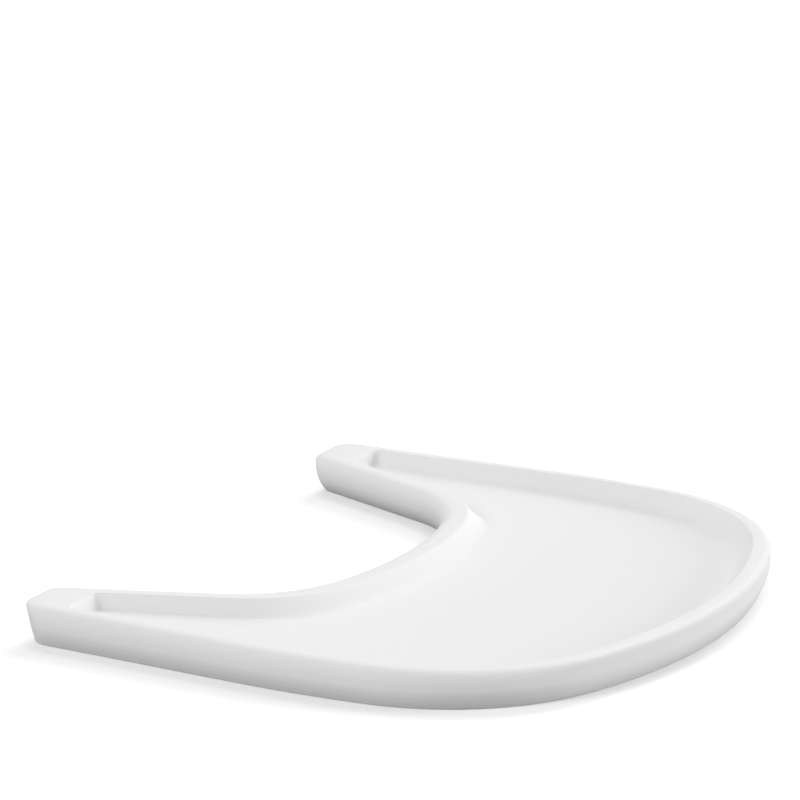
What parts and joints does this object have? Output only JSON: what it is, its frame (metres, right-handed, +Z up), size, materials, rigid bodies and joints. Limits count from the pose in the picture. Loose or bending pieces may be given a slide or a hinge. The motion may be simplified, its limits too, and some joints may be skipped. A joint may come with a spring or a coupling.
{
  "type": "high chair tray",
  "caption": "Moulded high-chair tray with a rolled rim, shallow basin and waist notch, held to round armrests by sprung latches under its arm pads.",
  "frame": {"origin": "middle of the footprint, on the surface the tray lies on", "axes": "+X across the tray, +Y towards the child and the arm tips, +Z up"},
  "size_m": [0.49, 0.434, 0.028],
  "materials": {
    "tray_white": "satin",
    "housing_grey": "matte",
    "lever_white": "satin",
    "grip_grey": "matte",
    "spring_steel": "satin",
    "steel": "satin"
  },
  "bodies": {
    "tray": {"tray_shell": "tray_white", "latch_housing_right": "housing_grey", "latch_housing_left": "housing_grey", "latch_spring_right": "spring_steel", "latch_spring_left": "spring_steel", "end_stop_right": "grip_grey", "end_stop_left": "grip_grey", "notch_buffer_right": "grip_grey", "notch_buffer_left": "grip_grey", "pivot_pins": "steel", "thrust_washers": "steel", "retaining_rings": "steel", "housing_screws": "steel"},
    "latch_right": {"latch_lever_right": "lever_white", "grip_pad_right": "grip_grey"},
    "latch_left": {"latch_lever_left": "lever_white", "grip_pad_left": "grip_grey"}
  },
  "joints": [
    {"name": "latch_swing_right", "type": "hinge", "parent": "tray", "child": "latch_right", "pos_m": [0.217, 0.19246, 0.0039], "axis": [0, 0, -1], "range_deg": [0, 24], "stiffness_Nm_per_rad": 0.25, "springref_deg": -17.19, "deforming": ["latch_spring_right"]},
    {"name": "latch_swing_left", "type": "hinge", "parent": "tray", "child": "latch_left", "pos_m": [-0.217, 0.19246, 0.0039], "axis": [0, 0, 1], "range_deg": [0, 24], "stiffness_Nm_per_rad": 0.25, "springref_deg": -17.19, "deforming": ["latch_spring_left"]}
  ]
}
